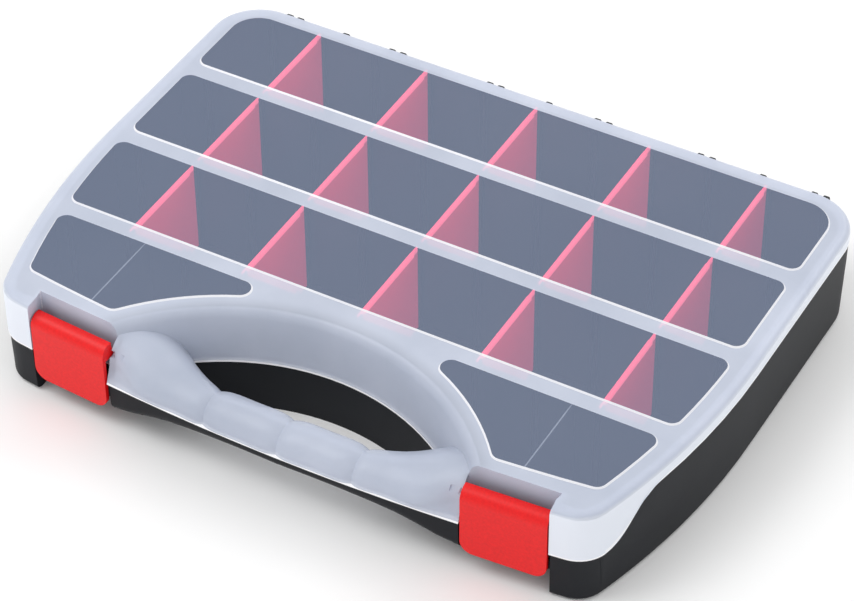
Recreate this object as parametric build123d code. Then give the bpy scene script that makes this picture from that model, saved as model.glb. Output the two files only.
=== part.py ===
from build123d import *

import os
from math import atan, cos, pi, radians, sin, sqrt, tan

# Organizer box: a black tray with three rows of loose red dividers, a hinged translucent
# lid of one piece, and two red snap latches beside the carrying grip.
# Millimetres. X runs across the box, Y from the grip to the hinge, Z up from the table.
# The origin lies under the middle of the box, hinge lugs included, on the table.

# Outline of the closed box, seen from above
width = 385.0
body_depth = 280.5
height = 60.0
side_lean = 2.0
side_run = 134.0
side_sweep_radius = 525.0
side_sweep_angle = 20.0
bow_radius = 1200.0
back_corner_radius = 29.0
front_corner_radius = 9.0

# Seam between the lid and the tray: high along the sides and back, low across the front
seam_height = 45.5
front_seam_height = 29.0
seam_drop_start = 203.0
seam_drop_end = 239.0
seam_gap = 0.3

# Lid shell
lid_wall = 1.8
lid_roof = 2.2
lid_edge_radius = 8.0

# Windows: clear panels sunk into the roof, with bars between them
window_depth = 1.0
window_rim_angle = 40.0
window_side_frame = 11.0
window_front_frame = 20.5
window_hand_radius = 136.5
window_bar = 11.0
window_corner_radius = 5.5

# Tray shell
floor_thickness = 2.0
tray_draft = 1.5
tray_edge_radius = 3.0
lip_gap = 0.4
lip_wall = 1.4
lip_clearance = 0.6
lip_foot = 14.0
pocket_wall = 2.2

# Rows and loose dividers
row_count = 3
row_depth = 63.5
partition_wall = 2.0
slot_pitch = 33.88
slots_each_side = 5
slot_gap = 1.7
slot_rib = 1.2
slot_depth = 3.0
divider_step = 2
dividers_each_side = 2
divider_plate = 1.2
divider_gap = 0.3
divider_bead_width = 2.6
divider_bead_height = 2.4
divider_bead_inset = 7.0
divider_drop = 0.4
divider_corner = 1.5
fixed_wall = 1.2
fixed_wall_x = 123.0

# Space for the hand: a round hollow in front of the body, wider towards the top, where its
# edge is rounded
hand_centre_ahead = 58.0
hand_radius_floor = 119.0
hand_radius_seam = 120.5
hand_radius_top = 126.5
hand_rounding = 7.0

# Grip: its upper half belongs to the lid and its lower half to the tray
# A station of the grip gives its distance from the middle, then its rear face behind the
# box's front edge, the height of its flanks and its full height or depth from the seam
# A station of an end counts the distance from the last groove and the rear face from the
# grip's middle part
grip_span = 104.0
grip_back = 25.0
grip_front_inset = 1.5
grip_crest = 13.0
grip_flank = 1.0
groove_x = 42.5
groove_half = 4.0
groove_depth = 1.3
swell_bulge = 0.5
grip_end_upper = [
    (10.0, 3.0, 1.0, 13.4),
    (25.0, 11.0, 2.0, 15.0),
    (40.0, 18.5, 5.0, 20.0),
    (grip_span - groove_x, 19.0, 12.0, height - front_seam_height - lid_wall),
]
grip_low_inset = 1.0
grip_wall = 1.8
undercut_depth = 17.0
undercut_height = 14.0
undercut_lip = 6.5
grip_middle_lower = [(0.0, 2.2, 10.0), (groove_x, 2.2, 10.8)]
grip_end_lower = [
    (15.0, 5.5, 3.2, 13.0),
    (36.0, 15.0, 8.0, 17.5),
    (48.0, 12.0, 11.5, 20.5),
    (grip_span - groove_x, 9.0, 13.5, 22.5),
]

# Latches, each hung in a recess of the lid and turned to follow the bowed front
latch_x = 124.0
latch_turn = 4.0
latch_width = 45.5
latch_side_gap = 0.9
latch_wall = 2.2
latch_curl_radius = 6.0
latch_curl_end = 105.0
latch_pivot_drop = 14.5
latch_floor_gap = 11.5
latch_corner_radius = 7.0
latch_hub_wall = 1.2
latch_pin_radius = 1.8
latch_pin_length = 2.0
latch_pin_clearance = 0.06
latch_web = 2.0
recess_depth = 12.5
recess_wall = 2.2

# Catch under the seam, which each latch snaps over
pocket_side_gap = 1.4
pocket_top_depth = 13.5
pocket_bottom_depth = 18.0
catch_gap = 0.35
catch_height = 3.5
catch_length = 34.0
catch_drop = 6.0
hook_reach = 3.0
hook_height = 3.0
hook_drop = 1.5
catch_chamfer = 1.0
gusset_wall = 1.6

# Hinge: groups of lugs on the tray with short pins, and knuckles on the lid
hinge_offset = 6.2
hinge_group_spacing = 127.5
hinge_pair_offset = 33.0
lug_radius = 5.5
lug_wall = 2.4
lug_pitch = 6.8
lug_gusset_drop = 16.0
hinge_pin_radius = 2.1
hinge_pin_clearance = 0.06
knuckle_radius = 4.4
knuckle_side_gap = 0.3
knuckle_mouth = 3.4
mouth_turn = -60.0

# Depth by which pieces of one solid run into each other before they are joined, and the
# distance by which a cutting shape runs past the faces that it cuts
overlap = 0.5
beyond = 5.0

# Places worked out from the sizes above
total_depth = body_depth - grip_front_inset + hinge_offset + lug_radius
back_y = total_depth / 2 - hinge_offset - lug_radius
front_y = back_y - body_depth
hand_y = front_y - hand_centre_ahead
lip_inset = lid_wall + lip_gap
tray_inset = lip_inset + lip_wall
lip_top = height - lid_roof - lip_clearance
row_pitch = row_depth + partition_wall
hinge_y = back_y + hinge_offset
far = 3 * width


def bow_y(x):
    """Front edge of the box at a distance x from its middle."""
    return front_y + bow_radius - sqrt(bow_radius**2 - x**2)


def plan(inset=0.0):
    """Outline of the box from above, drawn in by an equal distance all round."""
    lean = radians(side_lean)
    corner_x = width / 2 + back_corner_radius * ((1 + sin(lean)) / cos(lean) - 1)
    with BuildSketch() as sketch:
        with BuildLine():
            back = Line((0, back_y), (corner_x, back_y))
            bend = (corner_x - side_run * sin(lean), back_y - side_run * cos(lean))
            side = Line(back @ 1, bend)
            sweep = JernArc(side @ 1, side % 1, side_sweep_radius, -side_sweep_angle)
            Line(sweep @ 1, (0, (sweep @ 1).Y))
            mirror(about=Plane.YZ)
        make_face()
        with Locations((0, front_y + bow_radius)):
            Circle(bow_radius, mode=Mode.INTERSECT)
        corners = sketch.vertices().filter_by(lambda v: abs(v.X) > width / 4)
        fillet(corners.group_by(Axis.Y)[-1], back_corner_radius)
        corners = sketch.vertices().filter_by(lambda v: abs(v.X) > width / 4)
        fillet(corners.group_by(Axis.Y)[0], front_corner_radius)
    if inset:
        return offset(sketch.sketch, amount=-inset)
    return sketch.sketch


def plan_block(inset, low, high):
    """Upright block on the box's outline, drawn in by inset."""
    return extrude(Pos(0, 0, low) * plan(inset), amount=high - low)


def rounded_block(inset, low, high):
    """Upright block whose top rim follows the rounding of the lid's edge."""
    block = plan_block(inset, low, high)
    return fillet(block.edges().group_by(Axis.Z)[-1], lid_edge_radius - inset)


def hand_space(grow=0.0):
    """Round hollow for the hand, widened by grow. Its wall flares out into the roof."""
    lean = atan((hand_radius_top - hand_radius_seam) / (height - front_seam_height))
    middle_z = height - hand_rounding
    touch_z = middle_z + hand_rounding * sin(lean)
    touch_radius = hand_radius_seam + (touch_z - front_seam_height) * tan(lean)
    middle = Vector(touch_radius + hand_rounding * cos(lean), middle_z)
    rounding = hand_rounding - grow
    touch = middle - Vector(cos(lean), -sin(lean)) * rounding
    halfway = (pi / 2 + lean) / 2
    crest = middle + Vector(-cos(halfway - lean), sin(halfway - lean)) * rounding
    edge = middle + Vector(0, rounding)
    upright = Plane(origin=(0, hand_y, 0), x_dir=(1, 0, 0), z_dir=(0, -1, 0))
    with BuildSketch(upright) as profile:
        with BuildLine():
            Polyline(
                (0, -beyond),
                (hand_radius_floor + grow, -beyond),
                (hand_radius_seam + grow / cos(lean), front_seam_height),
                touch,
            )
            ThreePointArc(touch, crest, edge)
            Polyline(edge, (edge.X, height + beyond), (0, height + beyond), (0, -beyond))
        make_face()
    return revolve(profile.sketch, axis=Axis((0, hand_y, 0), (0, 0, 1)))


def latch_place(side):
    """Middle of one latch's front edge on the bow, turned to face out of it."""
    return Pos(side * latch_x, bow_y(latch_x), 0) * Rot(0, 0, side * latch_turn)


def recess(side, grow=0.0):
    """Box-shaped recess for a latch, open to the front, top and bottom."""
    half = latch_width / 2 + latch_side_gap + grow
    deep = recess_depth + grow
    block = Box(2 * half, deep + beyond, far, align=(Align.CENTER, Align.MAX, Align.CENTER))
    return latch_place(side) * Pos(0, deep, 0) * block


def pocket(side, grow=0.0):
    """Hollow behind a latch in the tray, deeper at the table for the fingertips."""
    half = latch_width / 2 + pocket_side_gap + grow
    points = [
        (-beyond, -beyond),
        (pocket_bottom_depth + grow, -beyond),
        (pocket_top_depth + grow, front_seam_height),
        (pocket_top_depth + grow, height + beyond),
        (-beyond, height + beyond),
    ]
    profile = Plane.YZ * make_face(Polyline(*points, close=True))
    return latch_place(side) * extrude(profile, amount=half, both=True)


def above_seam(drop=0.0):
    """Everything above the seam surface, which is lowered by drop."""
    low = front_seam_height - drop
    high = seam_height - drop
    start = back_y - seam_drop_start
    end = back_y - seam_drop_end
    middle_half = latch_x
    stepped = Pos(0, 0, high) * Box(far, far, far, align=(Align.CENTER, Align.CENTER, Align.MIN))
    front = Pos(0, start, low) * Box(
        2 * middle_half, far, far, align=(Align.CENTER, Align.MAX, Align.MIN)
    )
    with BuildSketch(Plane.YZ) as ess:
        with BuildLine():
            curve = Spline((start, high), (end, low), tangents=[(-1, 0), (-1, 0)])
            Polyline(curve @ 1, (-far, low), (-far, height + beyond), (start, height + beyond), curve @ 0)
        make_face()
    wing = extrude(ess.sketch, amount=far / 2 - middle_half)
    sides = Pos(middle_half, 0, 0) * wing + Pos(-far / 2, 0, 0) * wing
    return stepped + front + sides


def grip_section(x, back, flank, crest, dent, inset, low):
    """Upright section of the grip's upper half, narrowed by dent above the seam."""
    front = bow_y(x) + grip_front_inset + inset
    rear = front_y + back - inset
    shoulder = front_seam_height + flank
    half = (rear - front) / 2 - dent
    oval = crest - flank - dent - inset
    across = Plane(origin=(x, 0, 0), x_dir=(0, 1, 0), z_dir=(1, 0, 0))
    with BuildSketch(across) as section:
        with BuildLine():
            EllipticalCenterArc(((front + rear) / 2, shoulder), half, oval, 0, arc_size=180)
            Polyline((front + dent, shoulder), (front, low), (rear, low), (rear - dent, shoulder))
        make_face()
    return section.sketch


def grip_upper(inset, low):
    """Upper half of the grip: two finger swells between grooves, and an end swell each side."""
    swell = (grip_flank, grip_crest + swell_bulge, 0)
    shoulder = (grip_flank, grip_crest, 0)
    valley = (grip_flank, grip_crest, groove_depth)
    middle = [
        (0, grip_back, *valley),
        (groove_half, grip_back, *shoulder),
        (groove_x / 2, grip_back + swell_bulge, *swell),
        (groove_x - groove_half, grip_back, *shoulder),
        (groove_x, grip_back, *valley),
    ]
    end = [middle[-1], (groove_x + groove_half, grip_back + swell_bulge, *shoulder)]
    for along, further, flank, crest in grip_end_upper:
        end.append((groove_x + along, grip_back + further, flank, crest, 0))
    solids = []
    for stations in (middle, end):
        half = loft([grip_section(*station, inset, low) for station in stations])
        solids += [half, half.mirror(Plane.YZ)]
    return solids[0] + solids[1:]


def grip_low_section(x, back, flank, deep, inset):
    """Upright section of the grip's lower half: flanks and a half oval under the seam."""
    front = bow_y(x) + grip_front_inset + grip_low_inset + inset
    rear = front_y + back - grip_low_inset - inset
    top = front_seam_height - seam_gap
    low = top - flank
    across = Plane(origin=(x, 0, 0), x_dir=(0, 1, 0), z_dir=(1, 0, 0))
    middle = (front + rear) / 2
    oval = deep - flank - inset
    with BuildSketch(across) as section:
        with BuildLine():
            EllipticalCenterArc((middle, low), (rear - front) / 2, oval, 180, arc_size=180)
            Polyline((front, low), (front, top), (rear, top), (rear, low))
        make_face()
    return section.sketch


def grip_lower(inset):
    """Lower half of the grip, arched up in the middle."""
    stations = [(x, grip_back, flank, deep) for x, flank, deep in grip_middle_lower]
    for along, further, flank, deep in grip_end_lower:
        stations.append((groove_x + along, grip_back + further, flank, deep))
    mirrored = [(-x, back, flank, deep) for x, back, flank, deep in reversed(stations[1:])]
    return loft([grip_low_section(*station, inset) for station in mirrored + stations])


def post_undercut():
    """Cuts back the foot of the two posts between the hand space and the latches."""
    points = [
        (front_y - beyond, -beyond),
        (front_y + undercut_depth, -beyond),
        (front_y + undercut_lip, undercut_height),
        (front_y - beyond, undercut_height),
    ]
    profile = Plane.YZ * make_face(Polyline(*points, close=True))
    return extrude(profile, amount=latch_x - latch_width / 2, both=True)


def window_sinks():
    """Shallow sinks with sloped rims that leave the five clear windows in the roof."""
    inner = plan(window_side_frame)
    first_bar_back = back_y - tray_inset - row_depth - partition_wall / 2 + window_bar / 2
    sinks = []
    for row in range(row_count + 1):
        back = back_y if row == 0 else first_bar_back - (row - 1) * row_pitch - window_bar
        front = front_y if row == row_count else first_bar_back - row * row_pitch
        with BuildSketch() as window:
            add(inner)
            with Locations((0, (back + front) / 2)):
                Rectangle(width, back - front, mode=Mode.INTERSECT)
            sharp = window.vertices().filter_by(
                lambda v: min(abs(v.Y - front), abs(v.Y - back)) < 0.01
            )
            if row == row_count:
                with Locations((0, front_y + bow_radius)):
                    Circle(bow_radius - window_front_frame, mode=Mode.INTERSECT)
                with Locations((0, hand_y)):
                    Circle(window_hand_radius, mode=Mode.SUBTRACT)
                sharp = window.vertices()
            fillet(sharp, window_corner_radius)
        face = Pos(0, 0, height) * window.faces().sort_by(Axis.X)[-1]
        sinks.append(extrude(face, amount=-window_depth, taper=window_rim_angle))
    return sinks + [sinks[-1].mirror(Plane.YZ)]


def knuckles():
    """Hinge knuckles of the lid, each with an arm to the back wall and a snap mouth below."""
    half = (lug_pitch - lug_wall) / 2 - knuckle_side_gap
    ring = Circle(knuckle_radius)
    arm_top = height - lid_edge_radius - seam_height
    reach = hinge_offset + lid_wall / 2
    arm = Pos(-reach / 2, arm_top / 2) * Rectangle(reach, arm_top)
    bore = Circle(hinge_pin_radius + hinge_pin_clearance)
    mouth = Pos(knuckle_radius, 0) * Rectangle(2 * knuckle_radius, knuckle_mouth)
    face = ring + arm - bore - Rot(0, 0, mouth_turn) * mouth
    one = extrude(Plane.YZ * face, amount=half, both=True)
    return [Pos(x, hinge_y, seam_height) * one for x in hinge_pair_places()]


def hinge_pair_places():
    """Middles of the paired lugs along X."""
    groups = [step * hinge_group_spacing for step in (-1, 0, 1)]
    return [group + side * hinge_pair_offset for group in groups for side in (-1, 1)]


def lid():
    """Translucent lid of one piece, with the grip's upper half and the latch recesses."""
    below = front_seam_height - grip_wall
    outside = rounded_block(0, front_seam_height, height) - hand_space()
    inside = rounded_block(lid_wall, below, height - lid_roof)
    inside = inside - hand_space(lid_wall)
    outside = outside + grip_upper(0, front_seam_height)
    inside = inside + grip_upper(grip_wall, below)
    for side in (-1, 1):
        outside = outside - recess(side)
        inside = inside - recess(side, recess_wall)
    shell = (outside - inside) & above_seam()
    bore = latch_pin_radius + latch_pin_clearance
    shell = shell - [latch_axis_rod(side, bore) for side in (-1, 1)]
    return shell - window_sinks() + knuckles()


def latch_axis_rod(side, radius):
    """Rod on a latch's pivot axis, which runs through both walls of the recess."""
    length = latch_width + 2 * latch_side_gap + 2 * (recess_wall + beyond)
    rod = Rot(0, 90, 0) * Cylinder(radius, length)
    return latch_place(side) * Pos(0, latch_curl_radius, height - latch_pivot_drop) * rod


def latch_plate():
    """Flat face of a latch with a curl over its pivot at the top, seen along X."""
    pivot = Vector(latch_curl_radius, height - latch_pivot_drop)
    inner_radius = latch_curl_radius - latch_wall
    turned = radians(180 - latch_curl_end)
    halfway = radians(180 - latch_curl_end / 2)
    outward = Vector(cos(turned), sin(turned))
    midway = Vector(cos(halfway), sin(halfway))
    outer_end = pivot + outward * latch_curl_radius
    inner_end = pivot + outward * inner_radius
    with BuildSketch(Plane.YZ) as profile:
        with BuildLine():
            ThreePointArc((0, pivot.Y), pivot + midway * latch_curl_radius, outer_end)
            Line(outer_end, inner_end)
            ThreePointArc(inner_end, pivot + midway * inner_radius, (latch_wall, pivot.Y))
            Polyline(
                (latch_wall, pivot.Y),
                (latch_wall, latch_floor_gap),
                (0, latch_floor_gap),
                (0, pivot.Y),
            )
        make_face()
    plate = extrude(profile.sketch, amount=latch_width / 2, both=True)
    return fillet(plate.edges().filter_by(Axis.Y).group_by(Axis.Z)[0], latch_corner_radius)


def latch(side):
    """Snap latch: a curled plate with a hook behind it, and end webs that carry its pins."""
    hook_top = front_seam_height - catch_drop - catch_height - hook_drop
    hook = Plane.YZ * make_face(
        Polyline(
            (latch_wall - overlap, hook_top),
            (latch_wall + hook_reach, hook_top),
            (latch_wall + hook_reach, hook_top - hook_height / 3),
            (latch_wall - overlap, hook_top - 2 * hook_height),
            close=True,
        )
    )
    hub_radius = latch_pin_radius + latch_hub_wall
    reach = latch_curl_radius - latch_wall + overlap
    web = Circle(hub_radius) + Pos(-reach / 2, 0) * Rectangle(reach, 2 * hub_radius)
    web = web + Pos(0, reach / 2) * Rectangle(hub_radius, reach)
    pin_height = height - latch_pivot_drop
    web = Plane.YZ * Pos(latch_curl_radius, pin_height) * web
    solids = [extrude(hook, amount=catch_length / 2, both=True)]
    for end in (-1, 1):
        middle = end * (latch_width - latch_web) / 2
        solids.append(Pos(middle, 0, 0) * extrude(web, amount=latch_web / 2, both=True))
        pin = Rot(0, 90, 0) * Cylinder(latch_pin_radius, latch_pin_length + overlap)
        middle = end * (latch_width + latch_pin_length - overlap) / 2
        solids.append(Pos(middle, latch_curl_radius, pin_height) * pin)
    return latch_place(side) * (latch_plate() + solids)


def divider_places():
    """X of each divider across a row."""
    count = dividers_each_side
    return [step * divider_step * slot_pitch for step in range(-count, count + 1)]


def row_middle(row):
    """Middle of a row along Y, counted from the hinge."""
    return back_y - tray_inset - row_depth / 2 - row * row_pitch


def divider(row, x):
    """Loose divider: a thin plate with a rounded bead along its top, clear of the slots."""
    length = row_depth - 2 * divider_gap
    top = lip_top - divider_drop
    tall = top - floor_thickness
    plate = Rectangle(length, tall)
    plate = chamfer(plate.vertices(), divider_corner)
    sheet = extrude(Plane.YZ * plate, amount=divider_plate / 2, both=True)
    sheet = Pos(0, 0, floor_thickness + tall / 2) * sheet
    half = divider_bead_width / 2
    bead = Circle(half) + Pos(0, -half) * Rectangle(2 * half, 2 * (divider_bead_height - half))
    bead_length = length - 2 * divider_bead_inset
    rod = extrude(Plane.XZ * bead, amount=bead_length / 2, both=True)
    return Pos(x, row_middle(row), 0) * (sheet + Pos(0, 0, top - half) * rod)


def slot_ribs(y, toward):
    """Pairs of ribs on one wall face at y, which point along toward, as a flat sketch."""
    places = []
    for step in range(-slots_each_side, slots_each_side + 1):
        for side in (-1, 1):
            places.append((step * slot_pitch + side * (slot_gap + slot_rib) / 2, y))
    rib = Rectangle(slot_rib, 2 * slot_depth)
    return [Pos(*place) * rib for place in places]


def partitions():
    """Walls between the rows, with slots on the faces that hold dividers."""
    walls = []
    ribs = slot_ribs(back_y - tray_inset, -1)
    for row in range(row_count):
        y = row_middle(row) - row_depth / 2 - partition_wall / 2
        walls.append(Pos(0, y) * Rectangle(far, partition_wall))
        ribs += slot_ribs(row_middle(row) - row_depth / 2, 1)
        if row + 1 < row_count:
            ribs += slot_ribs(row_middle(row + 1) + row_depth / 2, -1)
    last = row_middle(row_count - 1) - row_depth / 2 - partition_wall
    for x in (-fixed_wall_x, 0, fixed_wall_x):
        walls.append(Pos(x, last - far / 2) * Rectangle(fixed_wall, far))
    flat = Sketch() + walls + ribs
    return flat & plan(tray_inset - overlap)


def lugs():
    """Hinge lugs behind the tray, in pairs with a pin between them and one in each middle."""
    buried = back_y - hinge_y - seam_gap - 2 * overlap
    outline = Circle(lug_radius) + make_face(
        Polyline(
            (0, 0),
            (lug_radius, 0),
            (buried, -lug_gusset_drop),
            (buried, -seam_gap),
            close=True,
        )
    )
    one = extrude(Plane.YZ * outline, amount=lug_wall / 2, both=True)
    pin = Rot(0, 90, 0) * Cylinder(hinge_pin_radius, lug_pitch)
    solids = []
    for x in hinge_pair_places():
        for side in (-1, 1):
            solids.append(Pos(x + side * lug_pitch / 2, hinge_y, seam_height) * one)
        solids.append(Pos(x, hinge_y, seam_height) * pin)
    for step in (-1, 0, 1):
        solids.append(Pos(step * hinge_group_spacing, hinge_y, seam_height) * one)
    return solids


def catch(side):
    """Ledge that one latch snaps over, on gussets from the pocket's slanted wall."""
    front = latch_wall + hook_reach + catch_gap
    top = front_seam_height - catch_drop
    back = pocket_bottom_depth + pocket_wall / 2
    ledge = Plane.YZ * make_face(
        Polyline(
            (front, top - catch_height),
            (front, top - catch_chamfer),
            (front + catch_chamfer, top),
            (back, top),
            (back, top - catch_height),
            close=True,
        )
    )
    gusset = Plane.YZ * make_face(
        Polyline((front + catch_chamfer, top - overlap), (back, top - overlap), (back, 0), close=True)
    )
    solids = []
    for step in (-1, 0, 1):
        middle = step * (catch_length - gusset_wall) / 2
        solids.append(Pos(middle, 0, 0) * extrude(gusset, amount=gusset_wall / 2, both=True))
    return latch_place(side) * (extrude(ledge, amount=catch_length / 2, both=True) + solids)


def base_tray():
    """Black tray: drafted walls, an inner lip under the lid, rows, catches and hinge lugs."""
    foot_inset = seam_gap + seam_height * tan(radians(tray_draft))
    block = loft([plan(foot_inset), Pos(0, 0, seam_height) * plan(seam_gap)], ruled=True)
    block = fillet(block.edges().group_by(Axis.Z)[0], tray_edge_radius)
    block = block - hand_space() - post_undercut() + grip_lower(0)
    lip = rounded_block(lip_inset, lip_foot, lip_top)
    lip = lip - hand_space(lip_inset)
    cavity = plan_block(tray_inset, floor_thickness, height)
    cavity = cavity - hand_space(tray_inset)
    grip_hollow = grip_lower(grip_wall) & hand_space()
    for side in (-1, 1):
        block = block - pocket(side) + catch(side)
        lip = lip - recess(side, recess_wall + lip_gap) - pocket(side)
        cavity = cavity - recess(side, recess_wall + lip_gap + lip_wall)
        cavity = cavity - pocket(side, pocket_wall)
        grip_hollow = grip_hollow - pocket(side, pocket_wall)
    shell = (block - above_seam(seam_gap)) + lip - cavity - grip_hollow
    comb = extrude(Pos(0, 0, floor_thickness) * partitions(), amount=lip_top - floor_thickness)
    room = cavity & rounded_block(lip_inset, 0, lip_top)
    return shell + lugs() + (comb & room)


def build_parts():
    """Every separate piece by its name."""
    parts = {"base_tray": base_tray(), "lid": lid()}
    parts["latch_left"] = latch(-1)
    parts["latch_right"] = latch(1)
    row_names = ("back", "middle", "front")
    for row, row_name in enumerate(row_names):
        for number, x in enumerate(divider_places(), start=1):
            parts[f"divider_{row_name}_{number}"] = divider(row, x)
    return parts


os.makedirs("parts", exist_ok=True)
for name, solid in build_parts().items():
    export_step(solid, f"parts/{name}.step")
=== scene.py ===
import math

import bmesh
import bpy
import numpy as np
from mathutils import Matrix, Vector


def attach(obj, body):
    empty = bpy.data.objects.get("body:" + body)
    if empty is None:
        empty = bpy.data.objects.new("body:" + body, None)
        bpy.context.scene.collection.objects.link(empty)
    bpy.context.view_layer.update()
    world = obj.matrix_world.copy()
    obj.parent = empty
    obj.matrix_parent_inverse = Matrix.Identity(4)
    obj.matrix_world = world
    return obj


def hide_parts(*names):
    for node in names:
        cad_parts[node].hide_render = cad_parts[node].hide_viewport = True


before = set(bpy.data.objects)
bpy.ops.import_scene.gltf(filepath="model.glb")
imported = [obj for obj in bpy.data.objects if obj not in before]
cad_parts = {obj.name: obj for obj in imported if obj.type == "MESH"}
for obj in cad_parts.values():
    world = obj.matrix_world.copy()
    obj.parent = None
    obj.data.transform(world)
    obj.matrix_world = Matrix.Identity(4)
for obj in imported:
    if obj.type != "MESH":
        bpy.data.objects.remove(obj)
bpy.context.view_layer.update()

# Organizer box: black tray, frosted lid with clear panels, red latches and loose red dividers.
# Metres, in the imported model's frame: X across the box, Y from the grip to the hinge, Z up.
# The shown lid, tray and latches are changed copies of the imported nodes' meshes. The lid and
# the tray follow the photograph's outline, with a higher seam and windows that stand proud.
# Sizes and places below are in millimetres.

MM = 0.001

# Camera, solved from the photograph's straight edges: direction, place in metres and lens
CAMERA_AZIMUTH = 29.568
CAMERA_ELEVATION = 41.867
CAMERA_ROLL = -0.4327
CAMERA_PLACE = (0.6163, -1.0794, 1.1316)
CAMERA_CLIP_END = 50
PHOTO_WIDTH = 854
FOCAL_PIXELS = 3208.7
SENSOR_WIDTH = 36.0

# Studio, in metres
FLOOR_HALF = 6.0
WORLD_STRENGTH = 0.78

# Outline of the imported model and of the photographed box
PACKED = dict(width=385.0, lean=2.0, run=134.0, sweep=525.0, bow=1200.0,
              back_corner=29.0, front_corner=9.0, back=133.65, front=-146.85)
SHOWN = dict(width=381.0, lean=0.0, run=135.1, sweep=405.0, bow=1280.0,
             back_corner=28.0, front_corner=18.0, back=134.1, front=-147.3)

# Places where both outlines have a row at the same X or Y, and the rows of each stretch
STEADY_BACK_X = 130.0
STEADY_SIDE_Y = 90.0
STEADY_SWEEP_Y = -100.0
STEADY_FRONT_X = 148.0
BACK_STEPS = (40, 12)
CORNER_STEPS = 40
SIDE_STEPS = (10, 60)
SWEEP_STEPS = (60, 16)
FRONT_STEPS = (12, 100)

# Insets from the outline between which the change of outline fades out
FADE_START = 22.0
FADE_END = 48.0

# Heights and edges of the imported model
PACKED_TOP = 60.0
PACKED_SINK = 59.0
PACKED_SEAM = 45.5
PACKED_DROP = (-69.35, -105.35)
PACKED_EDGE = 8.0
PACKED_WINDOW_INSET = 11.0
ROOF_UNDERSIDE = (57.5, 58.0)

# Heights and edges of the photographed box
SEAM = 50.5
DROP = (-87.5, -127.5)
EDGE = 4.0
FRAME_TOP = 59.2
WINDOW_INSET = 11.6
RIM_GROWTH = 0.9

# Places that both share: the shell's depth, the seam's low stretch and its gap to the tray
SHELL_DEPTH = 4.5
LOW_SEAM = 29.0
LOW_SEAM_X = 150.0
MIDDLE_SEAM_Y = -60.0
SEAM_GAP = 0.3

# Share of their spacing that points keep where the moved drop passes over them
DROP_SQUEEZE = 0.01

# Middle of a latch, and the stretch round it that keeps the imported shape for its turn
LATCH_X = 124.0
LATCH_ZONE = (85.0, 97.0, 150.0, 166.0)
LATCH_BACK_Y = -115.0
LATCH_FADE = (1.5, 4.0)

# Pivot of a latch, and its pin and bore beside the grip
LATCH_PIVOT = (123.581, -134.441, 45.5)
LATCH_TURN = math.radians(4.0)
LATCH_HALF = 22.75
BORE_RADIUS = 1.86
BORE_REACH = 9.0
PIN_KEPT = 0.05

# Foot of the tray between a latch and the grip
FOOT_BACK = 5.5
FOOT_X = (88.0, 93.0, 101.0, 102.0)
FOOT_Y = -128.0
FOOT_Z = (2.8, 11.0)

# Windows beside the latches, whose outer edges run along the box's side
CORNER_WINDOW_X = (110.0, 150.0)
CORNER_WINDOW_Y = (80.0, 92.0)
CORNER_WINDOW_INSET = (7.0, 9.5)

# How far a point may lie from a face, an edge or a limit and still belong to it
FACE_SLACK = 0.02
BORE_SLACK = 0.03
EDGE_SLACK = 0.05
SLACK = 0.1
SKIN_SLACK = 0.3
OUTSIDE_SLACK = 0.5

# Least slope of a window's rim, and the normal of a face that looks down
SLOPE_NORMAL = 0.3
DOWNWARD_NORMAL = -0.9

# Finish of the changed meshes
MARKED = 0.5
TINY = 1e-12
WELD_DISTANCE = 0.002
SHARP_ANGLE = math.radians(32)

# Where the looks change: hand hollow, and the painted light on the fixed walls, dividers' beads,
# lower edge and side walls
HAND_Y = -204.8
HAND_NEAR = 126.0
HAND_FAR = 137.0
FIXED_WALL_X = 123.0
FIXED_WALL_EDGE = 0.35
FIXED_WALL_TOP = 57.0
BEAD_LOW = 54.4
WHITE_EDGE_MIDDLE = 0.2
WHITE_EDGE_HALF = 0.8
UPRIGHT_BELOW = 0.2
FLAT_ABOVE = 0.8
PAST_LATCH_X = 147.6
BEHIND_LATCH_Y = 0.0

# How solid the lid looks at the hand hollow, on the roof and on its side walls
HAND_ALPHA = 0.60
ROOF_ALPHA = 0.77
WALL_ALPHA = 0.92
CLOUD_ALPHA = 0.18

# Strength of a divider's painted glow, and how much more its bead gets
DIVIDER_PAINTED_GLOW = 0.25
BEAD_PAINTED_GLOW = 0.6


def rgb(red, green, blue):
    """Linear colour, opaque, from a screen colour with parts up to 255."""
    parts = []
    for part in (red, green, blue):
        share = part / 255
        parts.append(share / 12.92 if share <= 0.04045 else ((share + 0.055) / 1.055) ** 2.4)
    return (*parts, 1.0)


def turn_points(centre, radius, start, end):
    """Points and outward angles along an arc, between two angles in radians."""
    angles = np.linspace(start, end, CORNER_STEPS)
    return [(centre[0] + radius * math.cos(a), centre[1] + radius * math.sin(a), a) for a in angles]


def side_bend(width, lean, run, back, back_corner):
    """Point of a box's side where its straight run ends and its sweep starts, lean in radians."""
    corner_x = width / 2 + back_corner * ((1 + math.sin(lean)) / math.cos(lean) - 1)
    return (corner_x - run * math.sin(lean), back - run * math.cos(lean))


def front_corner_middle(sweep_middle, sweep, bow_middle, bow, front_corner):
    """Middle of the front corner's arc, which touches the sweep and the bow from inside."""
    far, near = sweep - front_corner, bow - front_corner
    across = math.dist(sweep_middle, bow_middle)
    along = (far**2 - near**2 + across**2) / (2 * across)
    beside = math.sqrt(far**2 - along**2)
    unit = ((bow_middle[0] - sweep_middle[0]) / across, (bow_middle[1] - sweep_middle[1]) / across)
    options = [
        (sweep_middle[0] + along * unit[0] - side * beside * unit[1],
         sweep_middle[1] + along * unit[1] + side * beside * unit[0])
        for side in (-1, 1)
    ]
    return min(options, key=lambda p: p[1])


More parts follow.
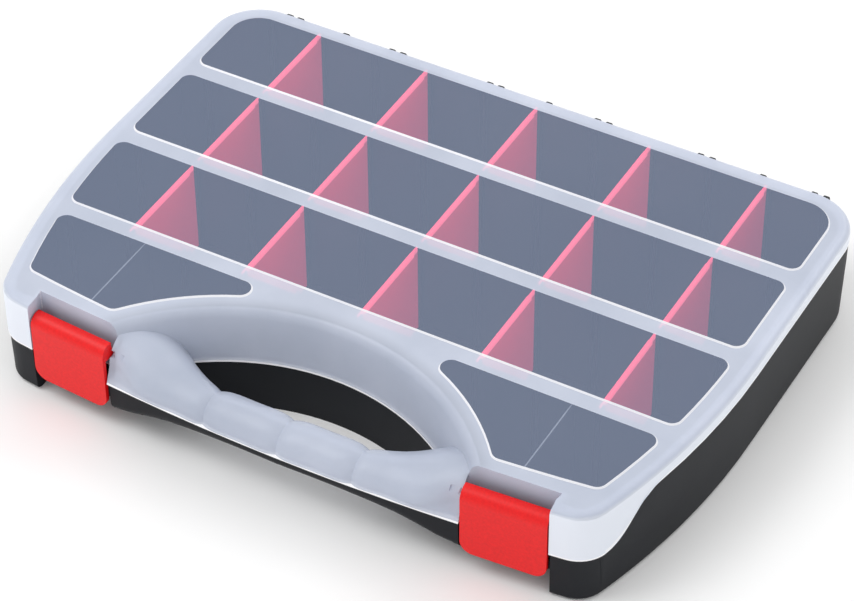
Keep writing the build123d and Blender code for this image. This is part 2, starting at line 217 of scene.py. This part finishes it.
def outline(width, lean, run, sweep, bow, back_corner, front_corner, back, front):
    """Right half of a box's outline from the middle of its back to the middle of its front.

    Each row holds x, y and the direction inward. Rows with one number match on both boxes.
    """
    lean = math.radians(lean)
    corner = (width / 2 - back_corner, back - back_corner)
    bend = side_bend(width, lean, run, back, back_corner)
    sweep_middle = (bend[0] - sweep * math.cos(lean), bend[1] + sweep * math.sin(lean))
    bow_middle = (0.0, front + bow)
    middle = front_corner_middle(sweep_middle, sweep, bow_middle, bow, front_corner)
    side_angle = math.atan2(middle[1] - sweep_middle[1], middle[0] - sweep_middle[0])
    front_angle = math.atan2(middle[1] - bow_middle[1], middle[0] - bow_middle[0])

    def on_side(y):
        return (bend[0] + (y - bend[1]) * math.tan(lean), y, -lean)

    def on_sweep(y):
        angle = math.asin((y - sweep_middle[1]) / sweep)
        return (sweep_middle[0] + sweep * math.cos(angle), y, angle)

    def on_bow(x):
        angle = -math.acos(x / bow)
        return (x, bow_middle[1] + bow * math.sin(angle), angle)

    rows = [(x, back, math.pi / 2) for x in np.linspace(0, STEADY_BACK_X, BACK_STEPS[0])]
    rows += [(x, back, math.pi / 2) for x in np.linspace(STEADY_BACK_X, corner[0], BACK_STEPS[1])]
    rows += turn_points(corner, back_corner, math.pi / 2, -lean)
    corner_end = corner[1] - back_corner * math.sin(lean)
    rows += [on_side(y) for y in np.linspace(corner_end, STEADY_SIDE_Y, SIDE_STEPS[0])]
    rows += [on_side(y) for y in np.linspace(STEADY_SIDE_Y, bend[1], SIDE_STEPS[1])]
    sweep_end = sweep_middle[1] + sweep * math.sin(side_angle)
    rows += [on_sweep(y) for y in np.linspace(bend[1], STEADY_SWEEP_Y, SWEEP_STEPS[0])]
    rows += [on_sweep(y) for y in np.linspace(STEADY_SWEEP_Y, sweep_end, SWEEP_STEPS[1])]
    rows += turn_points(middle, front_corner, side_angle, front_angle)
    bow_start = bow_middle[0] + bow * math.cos(front_angle)
    rows += [on_bow(x) for x in np.linspace(bow_start, STEADY_FRONT_X, FRONT_STEPS[0])]
    rows += [on_bow(x) for x in np.linspace(STEADY_FRONT_X, 0, FRONT_STEPS[1])]
    rows = np.array(rows)
    return np.column_stack([rows[:, :2], -np.cos(rows[:, 2]), -np.sin(rows[:, 2])])


def side_x(y, width, lean, run, sweep, back, back_corner, **others):
    """Distance of a box's side from its middle at a place along Y, without the front corner."""
    lean = math.radians(lean)
    bend = side_bend(width, lean, run, back, back_corner)
    middle = (bend[0] - sweep * math.cos(lean), bend[1] + sweep * math.sin(lean))
    swept = middle[0] + np.sqrt(sweep**2 - (np.minimum(y, bend[1]) - middle[1]) ** 2)
    return np.where(y > bend[1], bend[0] + (y - bend[1]) * math.tan(lean), swept)


OLD = outline(**PACKED)
NEW = outline(**SHOWN)
SIDE_START = sum(BACK_STEPS)
SIDE_END = SIDE_START + 2 * CORNER_STEPS + sum(SIDE_STEPS) + sum(SWEEP_STEPS)


def smooth(value, low, high):
    """Smooth step from 0 at low to 1 at high."""
    share = np.clip((value - low) / (high - low), 0, 1)
    return share * share * (3 - 2 * share)


def seam_line(x, y):
    """Height of the shown lid's lower edge over a place."""
    step = LOW_SEAM + (SEAM - LOW_SEAM) * smooth(y, DROP[1], DROP[0])
    front = np.where(y < MIDDLE_SEAM_Y, LOW_SEAM, SEAM)
    return np.where(np.abs(x) < LATCH_X, front, step)


def on_shown_side(y, inset):
    """Point of the shown box's side at a place along Y, drawn in by inset."""
    rows = NEW[SIDE_START:SIDE_END]
    place = [np.interp(-y, -rows[:, 1], rows[:, part]) for part in range(4)]
    return place[0] + inset * place[2], y + inset * place[3]


def beside_outline(x, y):
    """Shown outline's rows nearest to points, and the points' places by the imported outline."""
    reach = (x[:, None] - OLD[None, :, 0]) ** 2 + (y[:, None] - OLD[None, :, 1]) ** 2
    nearest = reach.argmin(axis=1)
    old = OLD[nearest]
    inset = (x - old[:, 0]) * old[:, 2] + (y - old[:, 1]) * old[:, 3]
    slip = -(x - old[:, 0]) * old[:, 3] + (y - old[:, 1]) * old[:, 2]
    return NEW[nearest], inset, slip


def on_rounded_edge(inset, depth):
    """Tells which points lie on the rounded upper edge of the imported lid."""
    ring = np.hypot(PACKED_EDGE - inset, PACKED_EDGE - depth) - PACKED_EDGE
    inside = (inset < PACKED_EDGE + SLACK) & (depth < PACKED_EDGE + SLACK) & (inset > -SLACK)
    return (np.abs(ring) < SKIN_SLACK) & inside


def follow_outline(x, y, new, inset, slip, rounded):
    """Moves points with the outline, less towards the middle and beside the latches."""
    drawn = np.interp(inset, [0, SHELL_DEPTH, PACKED_WINDOW_INSET], [0, SHELL_DEPTH, WINDOW_INSET])
    beyond = inset + WINDOW_INSET - PACKED_WINDOW_INSET
    drawn = np.where(inset > PACKED_WINDOW_INSET, beyond, drawn)
    drawn = np.where(rounded, inset * EDGE / PACKED_EDGE, drawn)
    drawn = np.where(inset < 0, inset, drawn)
    moved_x = new[:, 0] + drawn * new[:, 2] - slip * new[:, 3]
    moved_y = new[:, 1] + drawn * new[:, 3] + slip * new[:, 2]
    share = 1 - smooth(inset, FADE_START, FADE_END)
    share = np.where(inset < -OUTSIDE_SLACK, 0, share)
    beside_latch = smooth(x, *LATCH_ZONE[:2]) * (1 - smooth(x, *LATCH_ZONE[2:]))
    beside_latch = np.where(y < LATCH_BACK_Y, beside_latch, 0)
    share = share * (1 - beside_latch * smooth(inset, *LATCH_FADE))
    return x + share * (moved_x - x), y + share * (moved_y - y)


def follow_side(x, y, inset, at_x, at_y):
    """Moves the windows beside the latches across only, with the box's side."""
    shift = side_x(y, **SHOWN) - side_x(y, **PACKED) - (WINDOW_INSET - PACKED_WINDOW_INSET)
    shift = shift * smooth(x, *CORNER_WINDOW_X)
    by_side = smooth(-y, *CORNER_WINDOW_Y) * smooth(inset, *CORNER_WINDOW_INSET)
    return at_x + by_side * (x + shift - at_x), at_y + by_side * (y - at_y)


def foot_shift(x, y, z):
    """How far the tray's feet beside the grip are set back."""
    foot = smooth(x, *FOOT_X[:2]) * (1 - smooth(x, *FOOT_X[2:])) * (1 - smooth(z, *FOOT_Z))
    return np.where(y < FOOT_Y, FOOT_BACK * foot, 0)


def raise_seam(x, y, z, inset, gap, at_x, at_y, at_z):
    """Lifts the seam along the body and moves its drop along the side to the front corner."""
    shell = (inset > -SKIN_SLACK) & (inset < SHELL_DEPTH)
    behind = y > PACKED_DROP[0] - SLACK
    high = shell & (np.abs(z - PACKED_SEAM + gap) < EDGE_SLACK) & behind
    falling = shell & (y < PACKED_DROP[0] - SLACK) & (y > PACKED_DROP[1] - SLACK) & (x > LATCH_X)
    falling &= (z > LOW_SEAM - gap - SLACK) & (z < PACKED_SEAM - gap - EDGE_SLACK)
    low = shell & (np.abs(z - LOW_SEAM + gap) < EDGE_SLACK) & (x > LOW_SEAM_X)
    low &= (y < PACKED_DROP[1]) & (y > DROP[1])
    rise = (SEAM - LOW_SEAM) / (PACKED_SEAM - LOW_SEAM)
    at_z = np.where(high, SEAM - gap, at_z)
    at_z = np.where(falling, LOW_SEAM - gap + (z - LOW_SEAM + gap) * rise, at_z)
    slid = np.interp(-y, [0, -PACKED_DROP[0]], [0, -DROP[0]]) * -1
    fall = np.interp(-y, [-PACKED_DROP[0], -PACKED_DROP[1]], [-DROP[0], -DROP[1]]) * -1
    slid = np.where(falling, fall, slid)
    slid = np.where(low, DROP[1] - DROP_SQUEEZE * (PACKED_DROP[1] - y), slid)
    slides = (high & (y < 0)) | falling | low
    slid_x, slid_y = on_shown_side(slid, inset)
    return np.where(slides, slid_x, at_x), np.where(slides, slid_y, at_y), at_z


def refit(points, is_lid):
    """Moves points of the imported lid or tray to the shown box's outline and heights."""
    x, y, z = points.T.copy()
    side = np.where(x < 0, -1.0, 1.0)
    x = np.abs(x)
    depth = PACKED_TOP - z
    new, inset, slip = beside_outline(x, y)
    rounded = on_rounded_edge(inset, depth) & is_lid
    at_x, at_y = follow_outline(x, y, new, inset, slip, rounded)
    at_x, at_y = follow_side(x, y, inset, at_x, at_y)
    at_z = z
    if is_lid:
        at_z = np.minimum(z, FRAME_TOP)
        at_z = np.where(rounded, FRAME_TOP - depth * EDGE / PACKED_EDGE, at_z)
    else:
        at_y = at_y + foot_shift(x, y, z)
    gap = 0.0 if is_lid else SEAM_GAP
    at_x, at_y, at_z = raise_seam(x, y, z, inset, gap, at_x, at_y, at_z)
    return np.column_stack([side * at_x, at_y, at_z])


def face_kind(face, heights):
    """What a lid's face belongs to: 0 shell, 1 window, 2 rim, 3 underside of the roof."""
    normal = face.normal
    on_sink = abs(heights.min() - PACKED_SINK) < FACE_SLACK
    if on_sink and heights.max() < PACKED_SINK + FACE_SLACK:
        return 1
    if on_sink and normal.z > SLOPE_NORMAL:
        slopes = math.hypot(normal.x, normal.y) > SLOPE_NORMAL
        return 2 if slopes and heights.max() > PACKED_TOP - FACE_SLACK else 0
    low, high = ROOF_UNDERSIDE
    if normal.z < DOWNWARD_NORMAL and heights.min() > low and heights.max() < high:
        return 3
    return 0


def window_rings(mesh, points):
    """Outward directions of the window rims' points, and each face's kind."""
    keys = [tuple(np.round(p, 2)) for p in points]
    outward = {}
    kinds = []
    for face in mesh.polygons:
        kind = face_kind(face, points[list(face.vertices)][:, 2])
        kinds.append(kind)
        if kind == 2:
            across = np.array([face.normal.x, face.normal.y])
            for index in face.vertices:
                out = outward.setdefault(keys[index], np.zeros(2))
                out -= across * face.area / math.hypot(*across)
    pushes = np.zeros((len(points), 2))
    for index, key in enumerate(keys):
        if key in outward:
            length = np.hypot(*outward[key])
            pushes[index] = outward[key] / max(length, TINY)
    return pushes, kinds


def on_pivot(points):
    """Places along a latch's pivot axis, minus towards the grip, and distances from it."""
    x = np.abs(points[:, 0]) - LATCH_PIVOT[0]
    y = points[:, 1] - LATCH_PIVOT[1]
    along = x * math.cos(LATCH_TURN) + y * math.sin(LATCH_TURN)
    across = y * math.cos(LATCH_TURN) - x * math.sin(LATCH_TURN)
    return along, np.hypot(across, points[:, 2] - LATCH_PIVOT[2])


def copied(name):
    """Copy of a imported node's mesh, and its points."""
    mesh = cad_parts[name].data.copy()
    mesh.name = name + "_fitted"
    return mesh, np.array([v.co for v in mesh.vertices]) / MM


def shown(name, mesh, looks):
    """New object that carries a node's changed mesh and its materials."""
    mesh.materials.clear()
    for look in looks:
        mesh.materials.append(look)
    mesh.update()
    piece = bpy.data.objects.new(name + "_fitted", mesh)
    bpy.context.scene.collection.objects.link(piece)
    return piece


def place_points(mesh, points):
    """Moves a mesh's points."""
    mesh.vertices.foreach_set("co", (points * MM).astype(np.float32).ravel())


def mark_points(mesh, title, values):
    """Keeps one value for each point of a mesh."""
    mark = mesh.attributes.new(title, "FLOAT", "POINT")
    mark.data.foreach_set("value", values.astype(np.float32))


def latch_copy(name, look):
    """Copy of a latch whose pin beside the grip is cut short, so that the post hides it."""
    mesh, points = copied(name)
    along, _ = on_pivot(points)
    cut = np.where(along < -LATCH_HALF - EDGE_SLACK, -LATCH_HALF - PIN_KEPT - along, 0)
    points[:, 0] += np.sign(points[:, 0]) * cut * math.cos(LATCH_TURN)
    points[:, 1] += cut * math.sin(LATCH_TURN)
    place_points(mesh, points)
    piece = shown(name, mesh, [look])
    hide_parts(name)
    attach(piece, name)


def fit_windows(mesh, points, made):
    """Widens the lid's windows, lifts them and returns each face's kind."""
    pushes, kinds = window_rings(mesh, points)
    made[:, :2] += pushes * RIM_GROWTH
    in_window = np.zeros(len(points), bool)
    for face, kind in zip(mesh.polygons, kinds):
        if kind in (1, 2):
            in_window[list(face.vertices)] = True
    sunk = in_window & (np.abs(points[:, 2] - PACKED_SINK) < FACE_SLACK)
    made[:, 2] = np.where(sunk, PACKED_TOP, made[:, 2])
    return kinds


def grip_bores(points):
    """Tells which of the lid's points are on a latch pin's bore beside the grip."""
    along, reach = on_pivot(points)
    beside_grip = (along < -LATCH_HALF) & (along > -LATCH_HALF - BORE_REACH)
    return (np.abs(reach - BORE_RADIUS) < BORE_SLACK) & beside_grip


def fitted(name, looks):
    """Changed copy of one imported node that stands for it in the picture."""
    mesh, points = copied(name)
    made = refit(points, name == "lid")
    kinds = [0] * len(mesh.polygons)
    if name == "lid":
        kinds = fit_windows(mesh, points, made)
        mark_points(mesh, "above_seam", made[:, 2] - seam_line(made[:, 0], made[:, 1]))
        mark_points(mesh, "grip_bore", grip_bores(points))
    if "custom_normal" in mesh.attributes:
        mesh.attributes.remove(mesh.attributes["custom_normal"])
    place_points(mesh, made)
    piece = shown(name, mesh, looks)
    mesh.polygons.foreach_set("material_index", kinds)
    weld(mesh)
    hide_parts(name)
    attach(piece, "lid" if name == "lid" else "base")


def weld(mesh):
    """Joins points that share a place, closes marked bores and shades by angle."""
    work = bmesh.new()
    work.from_mesh(mesh)
    bmesh.ops.remove_doubles(work, verts=work.verts, dist=WELD_DISTANCE * MM)
    bore = work.verts.layers.float.get("grip_bore")
    if bore:
        close_bores(work, bore)
    for face in work.faces:
        face.smooth = True
    work.to_mesh(mesh)
    work.free()
    mesh.set_sharp_from_angle(angle=SHARP_ANGLE)


def close_bores(work, bore):
    """Takes out the bores' walls and covers their openings."""
    def marked(part):
        return all(point[bore] > MARKED for point in part.verts)

    walls = [face for face in work.faces if marked(face)]
    bmesh.ops.delete(work, geom=walls, context="FACES")
    rims = [edge for edge in work.edges if edge.is_boundary and marked(edge)]
    caps = bmesh.ops.holes_fill(work, edges=rims)["faces"]
    bmesh.ops.triangulate(work, faces=caps)


class Nodes:
    """Short way to build one material's node tree."""

    def __init__(self, name):
        self.material = bpy.data.materials.new(name)
        self.material.use_nodes = True
        self.tree = self.material.node_tree
        self.shader = self.tree.nodes["Principled BSDF"]
        self.place = self.add("ShaderNodeTexCoord").outputs["Object"]

    def add(self, kind, **values):
        """New node, with values for its inputs or its settings."""
        node = self.tree.nodes.new(kind)
        for key, value in values.items():
            if key in node.inputs:
                node.inputs[key].default_value = value
            else:
                setattr(node, key, value)
        return node

    def link(self, source, target):
        """Wire from one socket to another."""
        self.tree.links.new(source, target)

    def feed(self, source, title):
        """Wire from a socket to the shader's input of that name."""
        self.link(source, self.shader.inputs[title])

    def set(self, **values):
        """Values for the shader's inputs."""
        for key, value in values.items():
            self.shader.inputs[key.replace("_", " ")].default_value = value

    def noise(self, scale, **values):
        """Soft noise over the object's own coordinates."""
        noise = self.add("ShaderNodeTexNoise", Scale=scale, **values)
        self.link(self.place, noise.inputs["Vector"])
        return noise.outputs["Fac"]

    def mottle(self, first, second, scale, detail=4.0):
        """Two close colours mixed by soft noise."""
        ramp = self.add("ShaderNodeValToRGB")
        ends = ramp.color_ramp.elements
        ends[0].position, ends[0].color = 0.3, first
        ends[1].position, ends[1].color = 0.7, second
        self.link(self.noise(scale, Detail=detail, Roughness=0.6), ramp.inputs["Fac"])
        return ramp.outputs["Color"]

    def grain(self, scale, strength):
        """Fine moulded grain as a bump."""
        bump = self.add("ShaderNodeBump", Strength=strength, Distance=0.0002)
        self.link(self.noise(scale, Detail=3.0), bump.inputs["Height"])
        self.feed(bump.outputs["Normal"], "Normal")

    def axes(self, vector):
        """The parts of a vector along X, Y and Z."""
        node = self.add("ShaderNodeSeparateXYZ")
        self.link(vector, node.inputs["Vector"])
        return node.outputs

    def math(self, operation, first, second=0.0):
        """One calculation on sockets or numbers."""
        node = self.add("ShaderNodeMath", operation=operation)
        for number, value in enumerate((first, second)):
            if isinstance(value, (int, float)):
                node.inputs[number].default_value = value
            else:
                self.link(value, node.inputs[number])
        return node.outputs["Value"]

    def step(self, value, low, high, first, last):
        """Smooth step of a socket's value, from first at low to last at high."""
        node = self.add("ShaderNodeMapRange", interpolation_type="SMOOTHSTEP")
        self.link(value, node.inputs["Value"])
        titles = ("From Min", "From Max", "To Min", "To Max")
        for title, number in zip(titles, (low, high, first, last)):
            node.inputs[title].default_value = number
        return node.outputs["Result"]

    def mix(self, share, first, second):
        """Mix of two colours, each a socket or a value, on the node's colour sockets."""
        node = self.add("ShaderNodeMix", data_type="RGBA")
        self.link(share, node.inputs["Factor"])
        for number, value in ((6, first), (7, second)):
            if isinstance(value, tuple):
                node.inputs[number].default_value = value
            else:
                self.link(value, node.inputs[number])
        return node.outputs[2]


def tray_look():
    """Black moulded polypropylene with a fine grain; a painted highlight lightens the fixed walls'
    top edges.
    """
    m = Nodes("tray_black")
    black = m.mottle(rgb(7, 11, 18), rgb(12, 16, 24), 18.0)
    spot = m.axes(m.place)
    # Painted highlight: a light grey line along the tops of the fixed walls.
    beside = m.math("SUBTRACT", m.math("ABSOLUTE", spot["X"]), FIXED_WALL_X * MM)
    on_wall = m.math("LESS_THAN", m.math("ABSOLUTE", beside), FIXED_WALL_EDGE * MM)
    on_top = m.math("GREATER_THAN", spot["Z"], FIXED_WALL_TOP * MM)
    painted_glint = m.math("MULTIPLY", on_wall, on_top)
    m.feed(m.mix(painted_glint, black, rgb(150, 155, 165)), "Base Color")
    m.grain(1400.0, 0.12)
    m.set(Roughness=0.55, IOR=1.35)
    return m.material


def side_wall_share(m, spot):
    """How much of the lid's surface at a spot is one of its upright outer walls."""
    facing = m.axes(m.add("ShaderNodeTexCoord").outputs["Normal"])
    upright = m.step(m.math("ABSOLUTE", facing["Z"]), UPRIGHT_BELOW, FLAT_ABOVE, 1.0, 0.0)
    past_latch = m.math("GREATER_THAN", m.math("ABSOLUTE", spot["X"]), PAST_LATCH_X * MM)
    behind_latch = m.math("GREATER_THAN", spot["Y"], BEHIND_LATCH_Y * MM)
    return m.math("MULTIPLY", upright, m.math("MAXIMUM", past_latch, behind_latch))


def hand_reach(m, spot):
    """Distance of a spot from the middle of the hand hollow's arc."""
    beside = m.math("POWER", spot["X"], 2.0)
    behind = m.math("POWER", m.math("SUBTRACT", spot["Y"], HAND_Y * MM), 2.0)
    return m.math("SQRT", m.math("ADD", beside, behind))


def shell_look():
    """Frosted clear polypropylene, clearer round the grip; painted light whitens its upright walls
    and a painted highlight whitens its lower edge.
    """
    m = Nodes("lid_frosted")
    roof = m.mottle(rgb(206, 214, 232), rgb(216, 223, 240), 25.0)
    # Painted highlight: a near-white, fully solid strip along the lid's lower edge, found by the
    # above_seam mark.
    above = m.add("ShaderNodeAttribute", attribute_name="above_seam").outputs["Fac"]
    from_middle = m.math("ABSOLUTE", m.math("SUBTRACT", above, WHITE_EDGE_MIDDLE))
    edge = m.math("LESS_THAN", from_middle, WHITE_EDGE_HALF)
    spot = m.axes(m.place)
    # Painted light: the upright outer walls take a whiter colour than the roof, and below they are
    # also made more solid.
    wall = side_wall_share(m, spot)
    roof_and_painted_walls = m.mix(wall, roof, rgb(240, 245, 255))
    m.feed(m.mix(edge, roof_and_painted_walls, rgb(250, 250, 253)), "Base Color")
    reach = hand_reach(m, spot)
    clear = m.step(reach, HAND_NEAR * MM, HAND_FAR * MM, HAND_ALPHA, ROOF_ALPHA)
    cloud = m.math("SUBTRACT", m.noise(14.0, Detail=2.0), 0.5)
    cloudy = m.math("ADD", clear, m.math("MULTIPLY", cloud, CLOUD_ALPHA))
    solid = m.math("MAXIMUM", cloudy, m.math("MULTIPLY", wall, WALL_ALPHA))
    m.feed(m.math("MAXIMUM", edge, solid), "Alpha")
    m.grain(900.0, 0.15)
    m.set(Roughness=0.38, IOR=1.49)
    return m.material


def window_look():
    """Clear smoky panel over the rows."""
    m = Nodes("window_clear")
    m.feed(m.mottle(rgb(172, 188, 221), rgb(178, 193, 225), 6.0), "Base Color")
    m.set(Roughness=0.12, IOR=1.35, Alpha=0.32)
    return m.material


def rim_highlight_look():
    """Polished slope round a window, coloured nearly white as a painted highlight."""
    m = Nodes("window_rim")
    # Painted highlight: a near-white colour on the whole slope, on the near and far sides alike.
    m.feed(m.mottle(rgb(244, 245, 252), rgb(252, 252, 255), 40.0), "Base Color")
    m.set(Roughness=0.2, IOR=1.49, Alpha=0.95)
    return m.material


def inner_look():
    """Underside of the roof, which the eye looks through."""
    m = Nodes("roof_underside")
    m.feed(m.mottle(rgb(205, 208, 228), rgb(215, 218, 235), 20.0), "Base Color")
    m.set(Roughness=0.3, IOR=1.1, Alpha=0.02)
    return m.material


def red_look(name, low, high, roughness):
    """Red moulded plastic with a fine speckle."""
    m = Nodes(name)
    m.feed(m.mottle(low, high, 700.0, 2.0), "Base Color")
    m.grain(1600.0, 0.1)
    m.set(Roughness=roughness, IOR=1.42)
    return m


def divider_look():
    """Clear red plastic with a painted glow, strongest in the bead along its top."""
    m = red_look("divider_red", rgb(236, 22, 58), rgb(246, 34, 70), 0.3)
    # Painted glow: emission over the whole divider, stronger and a paler pink on the bead.
    bead = m.math("GREATER_THAN", m.axes(m.place)["Z"], BEAD_LOW * MM)
    painted_glow = m.math("ADD", m.math("MULTIPLY", bead, BEAD_PAINTED_GLOW), DIVIDER_PAINTED_GLOW)
    m.feed(painted_glow, "Emission Strength")
    m.feed(m.mix(bead, rgb(255, 60, 100), rgb(255, 110, 140)), "Emission Color")
    return m.material


def dress():
    """Changed copies of the lid, tray and latches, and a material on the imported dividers."""
    fitted("base_tray", [tray_look()])
    fitted("lid", [shell_look(), window_look(), rim_highlight_look(), inner_look()])
    red = red_look("latch_red", rgb(226, 10, 14), rgb(240, 16, 18), 0.42).material
    pink = divider_look()
    for name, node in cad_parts.items():
        if name.startswith("latch"):
            latch_copy(name, red)
        if name.startswith("divider"):
            node.data.materials.clear()
            node.data.materials.append(pink)


def camera():
    """Camera at the photograph's place and angle."""
    azimuth, elevation, roll = (
        math.radians(v) for v in (CAMERA_AZIMUTH, CAMERA_ELEVATION, CAMERA_ROLL)
    )
    back = Vector((
        math.sin(azimuth) * math.cos(elevation),
        -math.cos(azimuth) * math.cos(elevation),
        math.sin(elevation),
    ))
    data = bpy.data.cameras.new("camera")
    data.sensor_fit = "HORIZONTAL"
    data.sensor_width = SENSOR_WIDTH
    data.lens = FOCAL_PIXELS / PHOTO_WIDTH * SENSOR_WIDTH
    data.clip_end = CAMERA_CLIP_END
    seen = bpy.data.objects.new("camera", data)
    bpy.context.scene.collection.objects.link(seen)
    turn = (-back).to_track_quat("-Z", "Y").to_matrix() @ Matrix.Rotation(roll, 3, "Z")
    seen.matrix_world = Matrix.Translation(CAMERA_PLACE) @ turn.to_4x4()
    bpy.context.scene.camera = seen


def lay_floor():
    """Pale floor that takes the box's shadow."""
    mesh = bpy.data.meshes.new("floor")
    half = FLOOR_HALF
    corners = [(-half, -half, 0), (half, -half, 0), (half, half, 0), (-half, half, 0)]
    mesh.from_pydata(corners, [], [(0, 1, 2, 3)])
    floor = bpy.data.objects.new("floor", mesh)
    bpy.context.scene.collection.objects.link(floor)
    m = Nodes("floor_white")
    m.feed(m.mottle(rgb(250, 250, 250), rgb(255, 255, 255), 3.0), "Base Color")
    m.set(Roughness=0.9)
    mesh.materials.append(m.material)


def lamp(name, place, size, power):
    """Square soft lamp that faces the box."""
    data = bpy.data.lights.new(name, "AREA")
    data.shape = "SQUARE"
    data.size = size
    data.energy = power
    light = bpy.data.objects.new(name, data)
    bpy.context.scene.collection.objects.link(light)
    light.location = place
    light.rotation_mode = "QUATERNION"
    light.rotation_quaternion = (-Vector(place)).to_track_quat("-Z", "Y")


def stage():
    """Pale floor, a soft white world and large soft lamps."""
    lay_floor()
    world = bpy.data.worlds.new("studio")
    bpy.context.scene.world = world
    world.use_nodes = True
    sky = world.node_tree.nodes["Background"]
    sky.inputs["Color"].default_value = (1, 1, 1, 1)
    sky.inputs["Strength"].default_value = WORLD_STRENGTH
    lamp("key", (-0.9, -0.6, 1.6), 1.0, 11.0)
    lamp("rear", (0.5, 1.4, 1.2), 1.2, 9.0)
    bpy.context.scene.view_settings.view_transform = "Standard"


dress()
camera()
stage()
